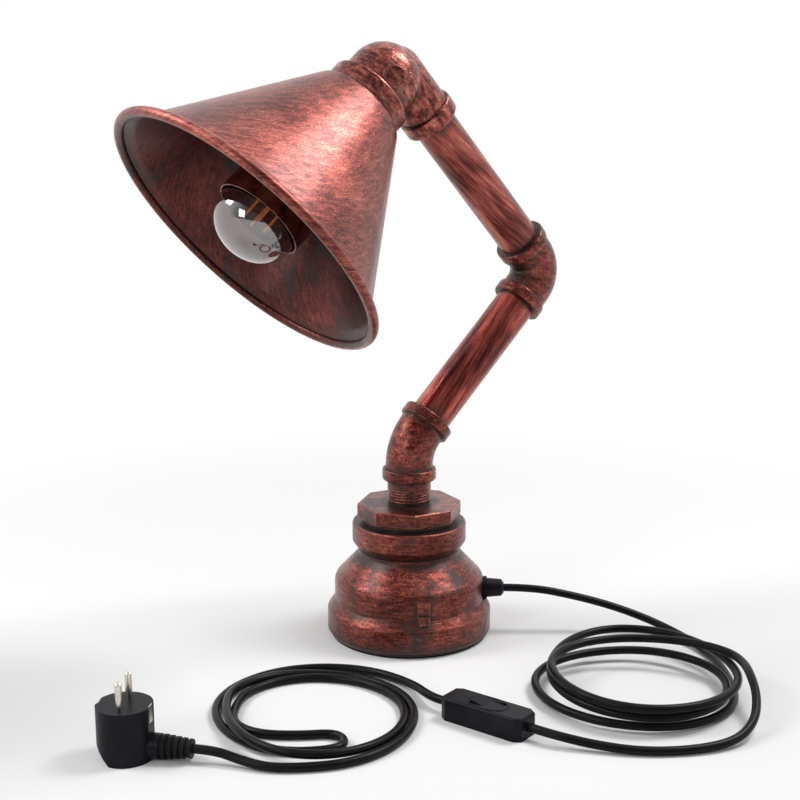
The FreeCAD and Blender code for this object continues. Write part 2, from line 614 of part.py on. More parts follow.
keep("switch_pin", make("Part::Cylinder", "switch_pin_rod", None, Radius="rocker_pin_radius",
                        Height="well_width + 6"),
     switch_frame.multiply(Placement(Vector(0, -S.well_width / 2 - 3, pin_height), ACROSS)))
rocker_body = doc.addObject("PartDesign::Body", "rocker_body")
rocker_pad = rocker_body.newObject("PartDesign::Pad", "rocker_pad")
rocker_pad.Profile = outline(rocker_body, "rocker_outline", [
    ("3", "0"), ("well_length - rocker_gap * 2 - 3", "0"),
    ("well_length - rocker_gap * 2", "5"),
    ("well_length - rocker_gap * 2", "5 + rocker_rise"),
    ("well_length / 2 - rocker_gap", "5 + rocker_rise * 0.6"),
    ("0", "5 + rocker_rise"), ("0", "5")])
rocker_pad.setExpression("Length", bound("well_width - rocker_gap"))
rocker_pad.Midplane = True
rocker_body.Tip = rocker_pad
rocker_body.Placement = at(-S.well_length / 2 + S.rocker_gap, 0, -4.5)
rocker_hole = make("Part::Cylinder", "rocker_hole", None, Radius="rocker_pin_radius + fit_clearance",
                   Height="well_width + 6")
rocker_hole.Placement = Placement(Vector(0, -S.well_width / 2 - 3, 0), ACROSS)
keep("switch_rocker", cut("rocker_bored", rocker_body, rocker_hole),
     switch_frame.multiply(Placement(Vector(0, 0, pin_height),
                                     Rotation(Vector(0, 1, 0), S.rocker_tilt))))

# Mains plug lying on its back with the pins up, cord side along local X
plug_frame = at(PLUG_CENTRE[0], PLUG_CENTRE[1], 0, UP, PLUG_HEADING)
plug_round = make("Part::Cylinder", "plug_round", None, Radius="plug_radius", Height="plug_height")
plug_slab = make("Part::Box", "plug_slab", at(-S.plug_flat, -S.plug_radius - 1, -1),
                 Length="plug_flat * 2", Width="plug_radius * 2 + 2", Height="plug_height + 2")
plug_common = doc.addObject("Part::MultiCommon", "plug_flattened")
plug_common.Shapes = [plug_round, plug_slab]
plug_neck = make("Part::Cylinder", "plug_neck", None, Radius="plug_neck_radius",
                 Height="plug_neck_reach")
plug_neck.Placement = Placement(Vector(0, 0, S.plug_exit_height), SIDEWAYS)
plug_wedge = make("Part::Box", "plug_wedge", None, Length="60", Width="60", Height="30")
plug_wedge.Placement = Placement(
    Vector(-S.plug_radius, -30, S.plug_cut), Rotation(Vector(0, 1, 0), 45)).multiply(
        at(-30, 0, -30))
plug_tools = [plug_wedge]
for side in (-1, 1):
    hole = make("Part::Cylinder", "plug_hole_%d" % (side + 2), None, Radius="plug_pin_radius",
                Height="plug_pin_depth + 1")
    hole.Placement = at(0, side * S.plug_pin_spacing / 2, S.plug_height - S.plug_pin_depth)
    slot = make("Part::Box", "plug_slot_%d" % (side + 2), None, Length="plug_clip_thickness",
                Width="plug_clip_width", Height="plug_clip_length + 1")
    low_x = S.plug_flat - S.plug_clip_thickness if side > 0 else -S.plug_flat
    slot.Placement = at(low_x, -S.plug_clip_width / 2, S.plug_height - S.plug_clip_length)
    plug_tools += [hole, slot]
    keep("plug_clip_%d" % ((side + 3) // 2),
         make("Part::Box", "plug_clip_bar_%d" % (side + 2), None, Length="plug_clip_thickness",
              Width="plug_clip_width", Height="plug_clip_length"),
         plug_frame.multiply(at(low_x, -S.plug_clip_width / 2, S.plug_height - S.plug_clip_length)))
    turned("plug_pin_%d" % ((side + 3) // 2), [
        ("0", "0"), ("plug_pin_radius", "0"),
        ("plug_pin_radius", "plug_pin_depth + plug_pin_length - 1.2"),
        ("plug_pin_radius - 1.2", "plug_pin_depth + plug_pin_length"),
        ("0", "plug_pin_depth + plug_pin_length")],
        place=plug_frame.multiply(at(0, side * S.plug_pin_spacing / 2,
                                     S.plug_height - S.plug_pin_depth)))
keep("plug_body", cut("plug_cut", fuse("plug_solid", [plug_common, plug_neck]),
                      fuse("plug_cuts", plug_tools)), plug_frame)
pitch = "relief_length / (relief_ribs * 2)"
taper = "(plug_neck_radius - relief_end_radius) / (relief_ribs * 2)"
relief = [("0", "0")]
for step in range(S.relief_ribs * 2):
    groove = " - 1.2" if step % 2 == 0 else ""
    radius = "plug_neck_radius - %s * %d%s" % (taper, step, groove)
    relief += [(radius, "%s * %d" % (pitch, step) if step else "0"),
               (radius, "%s * %d" % (pitch, step + 1))]
relief.append(("0", "relief_length"))
turned("plug_relief", relief, place=plug_frame.multiply(
    Placement(Vector(S.plug_neck_reach, 0, S.plug_exit_height), SIDEWAYS)))

# Cord. Free stretches follow points chosen by hand; the two coils follow formulas.
MIN_GAP = 0.4
TUBE = S.cord_radius
STRAIGHT = 2 * TUBE


def points_to_edges(points):
    """Straight runs joined by tangent arcs as wide as the runs allow."""
    edges, radii = [], []
    here = points[0]
    for before, corner_at, after in zip(points, points[1:], points[2:]):
        arrive = (corner_at - before).normalize()
        leave = (after - corner_at).normalize()
        half = arrive.getAngle(leave) / 2
        shorter = min((corner_at - before).Length, (after - corner_at).Length)
        radius = 0.45 * shorter / math.tan(half)
        reach = 0.45 * shorter
        start, end = corner_at - arrive * reach, corner_at + leave * reach
        toward = (leave - arrive).normalize()
        middle = corner_at + toward * (radius / math.cos(half) - radius)
        edges += [Part.LineSegment(here, start).toShape(), Part.Arc(start, middle, end).toShape()]
        radii.append(round(radius, 1))
        here = end
    edges.append(Part.LineSegment(here, points[-1]).toShape())
    return edges, radii


def biarc(p0, t0, p1, t1):
    """Two tangent arcs from one point and direction to another."""
    v, t = p1 - p0, t0 + t1
    k = 2 * (1 - t0.dot(t1))
    d = (-v.dot(t) + math.sqrt(v.dot(t) ** 2 + k * v.dot(v))) / k
    joint = (p0 + p1 + (t0 - t1) * d) * 0.5
    edges = []
    for a, b, knee in ((p0, joint, p0 + t0 * d), (joint, p1, p1 - t1 * d)):
        weight = (b - a).Length / 2 / d
        middle = ((a + b) * 0.5 + knee * weight) * (1 / (1 + weight))
        edges.append(Part.Arc(a, middle, b).toShape())
    return edges


def knots_to_edges(knots):
    """A coil's path: one biarc between each pair of knots, straight at both ends."""
    (first, first_dir), (last, last_dir) = knots[0], knots[-1]
    edges = [Part.LineSegment(first - first_dir * STRAIGHT, first).toShape()]
    for (p0, t0), (p1, t1) in zip(knots, knots[1:]):
        edges += biarc(p0, t0, p1, t1)
    edges.append(Part.LineSegment(last, last + last_dir * STRAIGHT).toShape())
    return edges


def samples(edges, spacing=1.5):
    """Points along a path with the distance travelled."""
    found, travelled = [], 0.0
    for edge in edges:
        count = max(2, int(edge.Length / spacing))
        low, high = edge.FirstParameter, edge.LastParameter
        for i in range(count):
            found.append((travelled + edge.Length * i / count,
                          edge.valueAt(low + (high - low) * i / count)))
        travelled += edge.Length
    return found


def own_gap(edges):
    """Least space between parts of one tube that lie over six diameters apart along it."""
    track = samples(edges)
    least = 1e9
    for i, (s0, p0) in enumerate(track):
        for s1, p1 in track[i + 1:]:
            if s1 - s0 > 12 * TUBE:
                gap = (p1 - p0).Length
                if gap < least:
                    least = gap
    return least - 2 * TUBE


def pair_gap(one, other, ends=12.0):
    """Least space between two tubes, away from faces where they meet."""
    a, b = samples(one, 2.5), samples(other, 2.5)
    least, place = min(((p - q).Length, tuple(p)) for s0, p in a for s1, q in b
                       if not (min(s0, a[-1][0] - s0) < ends and min(s1, b[-1][0] - s1) < ends))
    return "%.2f near %s" % (least - 2 * TUBE, [round(c) for c in place])


def tube(name, edges):
    """Solid tube along a path, checked against its section times its length."""
    path = Part.Wire(edges)
    start = edges[0].valueAt(edges[0].FirstParameter)
    direction = edges[0].tangentAt(edges[0].FirstParameter)
    ring = Part.Wire(Part.Circle(start, direction, TUBE).toShape())
    solid = path.makePipeShell([ring], True, False)
    expected = math.pi * TUBE ** 2 * path.Length
    print("%s length %.1f volume ratio %.4f" % (name, path.Length, solid.Volume / expected))
    item = doc.addObject("Part::Feature", name)
    item.Shape = solid
    item.Placement = Placement()
    keep(name, item)
    return path.Length


# Right-hand coil: three loose loops, clockwise from above, each laid on the last.
# Reach is the distance of each quarter from the coil's centre: right, front, left, back.
RIGHT_CENTRE = Vector(172, -128, TUBE + 0.05)
QUARTER_LENGTH = 110.0
RIGHT_REACH = [72, 70, 78, 64, 66, 71, 66, 92, 74, 73, 66, 52, 78]
QUARTERS = [(Vector(1, 0, 0), Vector(0, -1, 0)), (Vector(0, -1, 0), Vector(-1, 0, 0)),
            (Vector(-1, 0, 0), Vector(0, 1, 0)), (Vector(0, 1, 0), Vector(1, 0, 0))]
right_knots = []
right_count = int(S.right_turns * 4)
for n in range(right_count + 1):
    out, along = QUARTERS[n % 4]
    rise = S.right_climb * n / 4
    slope = 0.0 if n in (0, right_count) else S.right_climb / 4 / QUARTER_LENGTH
    right_knots.append((RIGHT_CENTRE + out * RIGHT_REACH[n % len(RIGHT_REACH)] + Vector(0, 0, rise),
                        (along + Vector(0, 0, slope)).normalize()))

# Left-hand coil: a flat spiral, clockwise from above, opening by one step each turn;
# it climbs over the stretch from the switch at its front left.
LEFT_START = [Vector(-124.5, -160, 0), Vector(-68, -111, 0), Vector(-4, -176, 0), Vector(-68, -246, 0)]
LEFT_OUT = [Vector(-1, 0, 0), Vector(0, 1, 0), Vector(1, 0, 0), Vector(0, -1, 0)]
LEFT_ALONG = [Vector(0, 1, 0), Vector(1, 0, 0), Vector(0, -1, 0), Vector(-1, 0, 0)]
HUMP = 7.2
left_knots = []
for n in range(int(S.left_quarters) + 1):
    place = LEFT_START[n % 4] + LEFT_OUT[n % 4] * (S.left_step * n / 4)
    lift = HUMP * 0.75 if n in (3, 4) else 0.0
    slope = {3: 0.09, 4: -0.09}.get(n, 0.0)
    left_knots.append((place + Vector(0, 0, TUBE + 0.05 + lift),
                       (LEFT_ALONG[n % 4] + Vector(0, 0, slope)).normalize()))
front, side_knot = left_knots[3][0], left_knots[4][0]
over = Vector(side_knot.x + (front.x - side_knot.x) * 0.293,
              front.y + (side_knot.y - front.y) * 0.293, TUBE + 0.05 + HUMP)
over_dir = Vector(-abs(front.x - side_knot.x), abs(side_knot.y - front.y), 0).normalize()
left_knots.insert(4, (over, over_dir))

FLOOR = TUBE + 0.05
right_in = right_knots[0][0] - right_knots[0][1] * STRAIGHT
right_out = right_knots[-1][0] + right_knots[-1][1] * STRAIGHT
left_in = left_knots[0][0] - left_knots[0][1] * STRAIGHT
left_out = left_knots[-1][0] + left_knots[-1][1] * STRAIGHT
gland_end = Vector(S.body_radius + S.gland_length, 0, S.gland_height)
switch_right = switch_frame.multVec(Vector(S.switch_length / 2, 0, S.cord_height))
switch_left = switch_frame.multVec(Vector(-S.switch_length / 2, 0, S.cord_height))
switch_along = switch_frame.Rotation.multVec(Vector(1, 0, 0))
plug_end = plug_frame.multVec(Vector(S.plug_neck_reach + S.relief_length, 0, S.plug_exit_height))
plug_along = plug_frame.Rotation.multVec(Vector(1, 0, 0))

LEAD = [gland_end, Vector(103, 0, 37), Vector(137, 0, 30.2), Vector(168, -1.5, 22.3),
        Vector(197, -6, 12.8), Vector(220, -20, 5.6), Vector(238, -49, FLOOR),
        Vector(244, -88, FLOOR), right_in]
SWEEP = [right_out, Vector(250, -151, right_out.z), Vector(250, -174, 18), Vector(243, -198, 9.5),
         Vector(226, -218, 4.6), Vector(196, -229, FLOOR), Vector(160, -232, FLOOR),
         Vector(128, -225.5, 5), switch_right + switch_along * 20, switch_right]
LINK = [switch_left, switch_left - switch_along * 16, Vector(4, -124, 4.6), Vector(-25, -97, FLOOR),
        Vector(-62, -88.5, FLOOR), Vector(-100, -97, FLOOR), Vector(-129, -124, FLOOR),
        Vector(-141, -160, FLOOR), Vector(-132, -197, FLOOR), Vector(-108, -225, FLOOR),
        Vector(-80, -236.5, FLOOR), Vector(-47, -231.5, FLOOR), Vector(-41.2, -217.8, FLOOR),
        Vector(-50.2, -206.2, FLOOR), Vector(-74, -210, FLOOR), Vector(-99.5, -209, FLOOR),
        Vector(-115.5, -200, FLOOR), Vector(-124.5, -184.5, FLOOR), left_in]
TAIL = [left_out, left_out + Vector(-18, 0, 0), Vector(-112, -250.5, 5.2),
        plug_end + plug_along * 15.5, plug_end]
paths = {"cord_coil_right": knots_to_edges(right_knots), "cord_coil_left": knots_to_edges(left_knots)}
for name, points in (("cord_lead", LEAD), ("cord_sweep", SWEEP), ("cord_link", LINK),
                     ("cord_tail", TAIL)):
    paths[name], radii = points_to_edges(points)
    print(name, "bend radii", radii)
total = 0.0
for name, edges in paths.items():
    total += tube(name, edges)
print("whole cord %.0f" % total)
for name in ("cord_coil_right", "cord_coil_left", "cord_link"):
    print(name, "least gap to itself %.2f" % own_gap(paths[name]))
for one, other in (("cord_lead", "cord_coil_right"), ("cord_sweep", "cord_coil_right"),
                   ("cord_link", "cord_coil_left"), ("cord_tail", "cord_coil_left"),
                   ("cord_tail", "cord_link")):
    print(one, other, "gap", pair_gap(paths[one], paths[other]))

doc.recompute()
for item in doc.Objects:
    if "Invalid" in item.State or "Error" in item.State:
        raise RuntimeError("failed: %s %s" % (item.Name, item.State))
os.makedirs("parts", exist_ok=True)
for name, item in nodes.items():
    shape = item.Shape
    if shape.isNull() or not shape.isValid():
        raise RuntimeError("bad shape: " + name)
    print(name, len(shape.Solids), round(shape.Volume, 1))
    shape.exportStep("parts/%s.step" % name)
print("nodes", len(nodes))
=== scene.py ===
import bmesh
import bpy
import json
import math
from mathutils import Matrix, Vector


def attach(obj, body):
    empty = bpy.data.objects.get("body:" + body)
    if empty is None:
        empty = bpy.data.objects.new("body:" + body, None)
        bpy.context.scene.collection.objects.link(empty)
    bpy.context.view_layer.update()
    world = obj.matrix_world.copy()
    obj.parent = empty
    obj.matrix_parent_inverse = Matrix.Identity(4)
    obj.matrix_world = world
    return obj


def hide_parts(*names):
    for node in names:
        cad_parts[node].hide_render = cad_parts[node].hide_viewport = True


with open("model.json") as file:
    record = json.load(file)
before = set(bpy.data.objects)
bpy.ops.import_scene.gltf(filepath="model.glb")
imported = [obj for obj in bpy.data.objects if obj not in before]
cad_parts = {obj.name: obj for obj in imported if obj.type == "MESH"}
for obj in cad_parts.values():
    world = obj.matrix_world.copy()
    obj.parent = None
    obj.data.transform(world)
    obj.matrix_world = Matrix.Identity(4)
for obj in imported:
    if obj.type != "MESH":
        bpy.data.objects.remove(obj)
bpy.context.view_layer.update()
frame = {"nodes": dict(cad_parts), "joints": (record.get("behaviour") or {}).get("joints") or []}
nodes = frame["nodes"]
joints = {j["name"]: j for j in frame["joints"]}
scene = bpy.context.scene
scene.view_settings.view_transform = "Standard"
MM = 0.001


def point(x, y, z):
    return Vector((x, y, z)) * MM


# Camera
camera = bpy.data.objects.new("camera", bpy.data.cameras.new("camera"))
camera.data.sensor_width = 36.0
camera.data.lens = 64.125
camera.data.clip_start = 0.05
camera.location = point(8.63, -1126.15, 439.41)
camera.rotation_euler = (math.radians(77.81), 0.0, math.radians(0.82))
scene.collection.objects.link(camera)
scene.camera = camera

# Cord in millimetres: listed points for the free stretches, coil points by formula
TUBE = 3.2
LYING = TUBE + 0.05
COIL_STEPS = 4
SWITCH_HEADING = math.radians(-36.5)
SWITCH_CENTRE = Vector((57.3, -185.4, 8.5))
SWITCH_ALONG = Vector((math.cos(SWITCH_HEADING), math.sin(SWITCH_HEADING), 0))
SWITCH_REACH = 34
PLUG_HEADING = math.radians(-9.0)
PLUG_CENTRE = Vector((-189.5, -236.0, 0))
PLUG_ALONG = Vector((math.cos(PLUG_HEADING), math.sin(PLUG_HEADING), 0))
PLUG_REACH = 47
PLUG_ENTRY_HEIGHT = 9


def no_lift(share):
    return 0.0


def quarter_turn(start, end, out, next_out, lift):
    """Points of a quarter ellipse between two knots, without the last knot."""
    reach = (start - end).dot(out)
    width = (end - start).dot(next_out)
    found = []
    for step in range(COIL_STEPS):
        share = step / COIL_STEPS
        angle = share * math.pi / 2
        place = start + out * reach * (math.cos(angle) - 1) + next_out * width * math.sin(angle)
        place.z = start.z + (end.z - start.z) * share + lift(share)
        found.append(place)
    return found


def coil(knots, headings, lifts):
    """A coil through its knots, four to a turn, each of them out along its own heading."""
    found = []
    for n, (start, end) in enumerate(zip(knots, knots[1:])):
        found += quarter_turn(start, end, headings[n % 4], headings[(n + 1) % 4], lifts.get(n, no_lift))
    return [*found, knots[-1]]


QUARTERS = [Vector((1, 0, 0)), Vector((0, -1, 0)), Vector((-1, 0, 0)), Vector((0, 1, 0))]
RIGHT_CENTRE = Vector((172, -128, LYING))
RIGHT_REACH = [72, 70, 78, 64, 66, 71, 66, 92, 74, 73, 66, 52, 78]
RIGHT_CLIMB = 7.3
right_knots = [RIGHT_CENTRE + QUARTERS[n % 4] * reach + Vector((0, 0, RIGHT_CLIMB * n / 4))
               for n, reach in enumerate(RIGHT_REACH)]
right_coil = coil(right_knots, QUARTERS, {})

LEFT_START = [(-124.5, -160), (-68, -111), (-4, -176), (-68, -246)]
LEFT_OUT = [QUARTERS[2], QUARTERS[3], QUARTERS[0], QUARTERS[1]]
LEFT_KNOTS = 8
LEFT_STEP = 7.1
HUMP = 7.2
LIFTS = {2: lambda share: 0.75 * HUMP * share,
         3: lambda share: HUMP * (0.75 + 0.5 * min(share, 1 - share)),
         4: lambda share: 0.75 * HUMP * (1 - share)}
left_knots = [Vector((*LEFT_START[n % 4], LYING)) + LEFT_OUT[n % 4] * (LEFT_STEP * n / 4)
              for n in range(LEFT_KNOTS)]
left_coil = coil(left_knots, LEFT_OUT, LIFTS)

gland_end = Vector((78.5, 0, 37))
switch_right = SWITCH_CENTRE + SWITCH_ALONG * SWITCH_REACH
switch_left = SWITCH_CENTRE - SWITCH_ALONG * SWITCH_REACH
plug_end = PLUG_CENTRE + PLUG_ALONG * PLUG_REACH + Vector((0, 0, PLUG_ENTRY_HEIGHT))
LEAD = [gland_end, Vector((103, 0, 37)), Vector((137, 0, 30.2)), Vector((168, -1.5, 22.3)),
        Vector((197, -6, 12.8)), Vector((220, -20, 5.6)), Vector((238, -49, LYING)),
        Vector((244, -88, LYING))]
SWEEP = [Vector((250, -151, 25.15)), Vector((250, -174, 18)), Vector((243, -198, 9.5)),
         Vector((226, -218, 4.6)), Vector((196, -229, LYING)), Vector((160, -232, LYING)),
         Vector((128, -225.5, 5)), switch_right + SWITCH_ALONG * 20, switch_right]
LINK = [switch_left, switch_left - SWITCH_ALONG * 16, Vector((4, -124, 4.6)),
        Vector((-25, -97, LYING)), Vector((-62, -88.5, LYING)), Vector((-100, -97, LYING)),
        Vector((-129, -124, LYING)), Vector((-141, -160, LYING)), Vector((-132, -197, LYING)),
        Vector((-108, -225, LYING)), Vector((-80, -236.5, LYING)), Vector((-47, -231.5, LYING)),
        Vector((-41.2, -217.8, LYING)), Vector((-50.2, -206.2, LYING)), Vector((-74, -210, LYING)),
        Vector((-99.5, -209, LYING)), Vector((-115.5, -200, LYING)), Vector((-124.5, -184.5, LYING))]
TAIL = [left_knots[-1] + Vector((-24.4, 0, 0)), Vector((-112, -250.5, 5.2)),
        plug_end + PLUG_ALONG * 15.5, plug_end]
route = [*LEAD, *right_coil, *SWEEP, *LINK, *left_coil, *TAIL]

cord_curve = bpy.data.curves.new("cord", "CURVE")
cord_curve.dimensions = "3D"
cord_curve.resolution_u = 8
cord_curve.bevel_depth = 1.0
cord_curve.bevel_resolution = 5
cord_curve.use_fill_caps = True
line = cord_curve.splines.new("NURBS")
line.points.add(len(route) - 1)
for knot, place in zip(line.points, route):
    knot.co = (*(place * MM), 1.0)
    knot.radius = TUBE * MM
line.order_u = 3
line.use_endpoint_u = True
cord = bpy.data.objects.new("cord", cord_curve)
scene.collection.objects.link(cord)
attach(cord, "base")
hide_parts("cord_lead", "cord_coil_right", "cord_sweep", "cord_link", "cord_coil_left",
            "cord_tail")

# Directions and bends of the two arms and of the shade
LOWER_DIR = Vector(joints["elbow_swivel"]["axis"]).normalized()
UPPER_DIR = Vector(joints["head_swivel"]["axis"]).normalized()
SHADE_DIR = Vector((-0.5978, -0.4476, -0.6650)).normalized()
TOP_BEND = point(-12.19, -19.88, 456.96)
MID_BEND = point(110.82, 78.76, 292.47)
LOW_BEND = point(0, 0, 159.15)
TOP_ACROSS = (SHADE_DIR - UPPER_DIR * SHADE_DIR.dot(UPPER_DIR)).normalized()
STEEP = 0.9


def axes_at(place, along, across=None):
    """A frame at a point with Z along a direction and X as near to another as it can be."""
    z = along.normalized()
    if across is None:
        across = Vector((0, 0, 1)) if abs(z.z) < STEEP else Vector((1, 0, 0))
    x = (across - z * across.dot(z)).normalized()
    return Matrix.Translation(place) @ Matrix((x, z.cross(x), z)).transposed().to_4x4()


SHADE_FRAME = axes_at(TOP_BEND, SHADE_DIR, -UPPER_DIR)
LOWER_FRAME = axes_at(LOW_BEND, LOWER_DIR)
UPPER_FRAME = axes_at(MID_BEND, UPPER_DIR)
BASE_FRAME = Matrix.Identity(4)


class Tree:
    """Adds shader nodes to a material or a world and joins them."""

    def __init__(self, owner):
        owner.use_nodes = True
        self.tree = owner.node_tree
        self.tree.nodes.clear()

    def add(self, kind, settings=None, **sockets):
        node = self.tree.nodes.new("ShaderNode" + kind)
        for key, value in (settings or {}).items():
            setattr(node, key, value)
        for key, value in sockets.items():
            self.feed(node.inputs[key.replace("_", " ")], value)
        return node

    def feed(self, socket, value):
        if isinstance(value, bpy.types.NodeSocket):
            self.tree.links.new(value, socket)
        elif isinstance(value, tuple) and socket.type == "RGBA":
            socket.default_value = (*value, 1.0)
        else:
            socket.default_value = value

    def calculate(self, operation, a, b):
        node = self.add("Math", {"operation": operation})
        self.feed(node.inputs[0], a)
        self.feed(node.inputs[1], b)
        return node.outputs[0]

    def plus(self, a, b):
        return self.calculate("ADD", a, b)

    def minus(self, a, b):
        return self.calculate("SUBTRACT", a, b)

    def times(self, a, b):
        return self.calculate("MULTIPLY", a, b)

    def larger(self, a, b):
        return self.calculate("MAXIMUM", a, b)


class Graph(Tree):
    """Builds one material, with coordinates in the frame of the part that it covers."""

    def __init__(self, name, frame_matrix=BASE_FRAME):
        self.material = bpy.data.materials.new(name)
        super().__init__(self.material)
        self.texture = self.add("TexCoord").outputs
        place, turn, _ = frame_matrix.decompose()
        self.turn = turn.to_euler()
        self.local = self.add("Mapping", {"vector_type": "TEXTURE"}, Vector=self.texture["Object"],
                              Location=place, Rotation=self.turn).outputs[0]

    def local_normal(self):
        return self.add("Mapping", {"vector_type": "TEXTURE"}, Vector=self.texture["Normal"],
                        Rotation=self.turn).outputs[0]

    def combine(self, operation, a, b):
        node = self.add("VectorMath", {"operation": operation})
        self.feed(node.inputs[0], a)
        self.feed(node.inputs[1], b)
        return node.outputs["Value" if operation == "DOT_PRODUCT" else "Vector"]

    def stretched(self, across, along, twist=0.0):
        """Local coordinates scaled per metre, turned about Z by an angle per metre of height."""
        vector = self.local
        if twist:
            height = self.add("SeparateXYZ", Vector=vector).outputs[2]
            vector = self.add("VectorRotate", {"rotation_type": "Z_AXIS"}, Vector=vector,
                              Angle=self.times(height, twist)).outputs[0]
        return self.add("Mapping", Vector=vector, Scale=(across, across, along)).outputs[0]

    def noise(self, vector, detail, rough, scale=1.0, distortion=0.0):
        return self.add("TexNoise", Vector=vector, Scale=scale, Detail=detail, Roughness=rough,
                        Distortion=distortion).outputs[0]

    def ramp(self, factor, *stops):
        """Stops are pairs of a place and a colour or grey."""
        node = self.add("ValToRGB", Fac=factor)
        elements = node.color_ramp.elements
        while len(elements) < len(stops):
            elements.new(1.0)
        for element, (place, colour) in zip(elements, stops):
            element.position = place
            rgb = colour if isinstance(colour, tuple) else (colour,) * 3
            element.color = (*rgb, 1.0)
        return node.outputs[0]

    def blend(self, factor, a, b, kind="MIX"):
        node = self.add("Mix", {"data_type": "RGBA", "blend_type": kind})
        for index, value in ((0, factor), (6, a), (7, b)):
            self.feed(node.inputs[index], value)
        return node.outputs[2]

    def edges(self, radius):
        """One on sharp edges, nought on flat faces."""
        rounded = self.add("Bevel", {"samples": 4}, Radius=radius).outputs[0]
        agreement = self.combine("DOT_PRODUCT", rounded, self.add("NewGeometry").outputs["Normal"])
        return self.ramp(self.minus(1.0, agreement), (0.02, 0.0), (0.16, 1.0))

    def bump(self, height, strength, distance, normal=None):
        node = self.add("Bump", Height=height, Strength=strength, Distance=distance)
        if normal is not None:
            self.feed(node.inputs["Normal"], normal)
        return node.outputs[0]

    def mix_shaders(self, share, one, two):
        node = self.add("MixShader", Fac=share)
        self.feed(node.inputs[1], one.outputs[0])
        self.feed(node.inputs[2], two.outputs[0])
        return node

    def finish(self, shader):
        self.add("OutputMaterial", Surface=shader.outputs[0])
        return self.material

    def surface(self, **sockets):
        return self.finish(self.add("BsdfPrincipled", **sockets))


def dress(material, *names):
    for name in names:
        if not nodes[name].material_slots:
            nodes[name].data.materials.append(material)
        for slot in nodes[name].material_slots:
            slot.material = material
    return material


# Red lacquer brushed over dark metal
DEEP = (0.040, 0.0075, 0.0065)
RED = (0.205, 0.037, 0.029)
WARM = (0.420, 0.120, 0.086)
COPPER = (0.760, 0.340, 0.235)
# Dark colour for sooty patches, also laid on as painted shade in crevices and on the inner face of the
# shade
SOOT_SHADE_COLOUR = (0.016, 0.014, 0.012)
# Reach of the painted shade in crevices
HOLLOW_REACH = 11 * MM
EDGE_RADIUS = 1.6 * MM
# Extra painted shade on the inner face of the shade
INSIDE_SHADE = 0.12
BRUSHED = 0.05


def lacquer(name, frame_matrix, streak, length, fine_share, soot_shade_onset, soot_scale, rough, tint,
            twist=0.0, soot_length=0.8, wear=0.8, pits=0.0, crevice_shade=0.6, inside=None):
    """Red metal: streaks along the local Z axis, sooty patches, painted shade in crevices and on an inner
    face, rubbed edges.
    """
    g = Graph(name, frame_matrix)
    fine = g.noise(g.stretched(streak, streak * length, twist), 6.0, 0.68)
    broad = g.noise(g.stretched(streak * 0.2, streak * length * 0.6, twist), 4.0, 0.6)
    cloud = g.noise(g.stretched(22, 22), 3.0, 0.5)
    tone = g.plus(g.times(fine, fine_share), g.times(broad, 1.0 - fine_share))
    tone = g.plus(g.times(tone, 0.8), g.times(cloud, 0.2))
    colour = g.ramp(tone, (0.415, DEEP), (0.485, RED), (0.555, WARM), (0.66, COPPER))
    patches = g.noise(g.stretched(soot_scale, soot_scale * soot_length, twist * 0.6), 7.0, 0.7,
                      distortion=0.3)
    level = g.plus(patches, g.times(g.minus(fine, 0.5), 0.55))
    # Painted shade: darker where ambient occlusion finds crevices
    painted_hollow_shade = g.minus(1.0, g.add("AmbientOcclusion", {"samples": 6}, Distance=HOLLOW_REACH).outputs["AO"])
    level = g.plus(level, g.times(painted_hollow_shade, crevice_shade))
    # Painted shade: the inner face, turned towards the local Z axis, gets more of the dark colour
    if inside is not None:
        outward = g.combine("MULTIPLY", g.local, (1.0, 1.0, 0.0))
        toward = g.combine("DOT_PRODUCT", g.local_normal(), outward)
        within = g.ramp(g.times(toward, -60.0), (0.0, 0.0), (0.35, 1.0))
        level = g.plus(level, g.times(within, INSIDE_SHADE))
    # Sooty patches and painted shade together decide where the dark colour is laid on
    soot_and_shade = g.ramp(level, (soot_shade_onset, 0.0), (soot_shade_onset + 0.11, 1.0))
    colour = g.blend(g.times(soot_and_shade, 0.92), colour, SOOT_SHADE_COLOUR)
    rubbed = g.times(g.edges(EDGE_RADIUS), g.ramp(fine, (0.40, 0.1), (0.58, wear)))
    colour = g.blend(rubbed, colour, COPPER)
    # Painted shade: the inner face is also dimmed by its own tint
    if inside is not None:
        colour = g.blend(within, colour, g.blend(1.0, colour, inside, "MULTIPLY"))
    colour = g.blend(1.0, colour, tint, "MULTIPLY")
    metal = g.minus(0.88, g.times(soot_and_shade, 0.5))
    roughness = g.plus(g.plus(rough - 0.1, g.times(fine, 0.2)), g.times(soot_and_shade, 0.18))
    normal = g.bump(fine, 0.7, 0.35 * MM)
    if pits:
        grain = g.noise(g.local, 4.0, 0.6, scale=380.0)
        normal = g.bump(grain, pits, 0.7 * MM, normal)
    return g.surface(Base_Color=colour, Metallic=metal, Roughness=roughness, Normal=normal,
                     Coat_Weight=0.3, Coat_Roughness=0.28)


# The shade's inner face gets painted shade through the inside tint
dress(lacquer("red_shade", SHADE_FRAME, streak=1250, length=BRUSHED, twist=-11.0, fine_share=0.66,
              soot_shade_onset=0.645, soot_scale=34, soot_length=0.4, rough=0.33, tint=(0.95, 0.86, 0.85),
              inside=(0.33, 0.22, 0.22)), "shade")
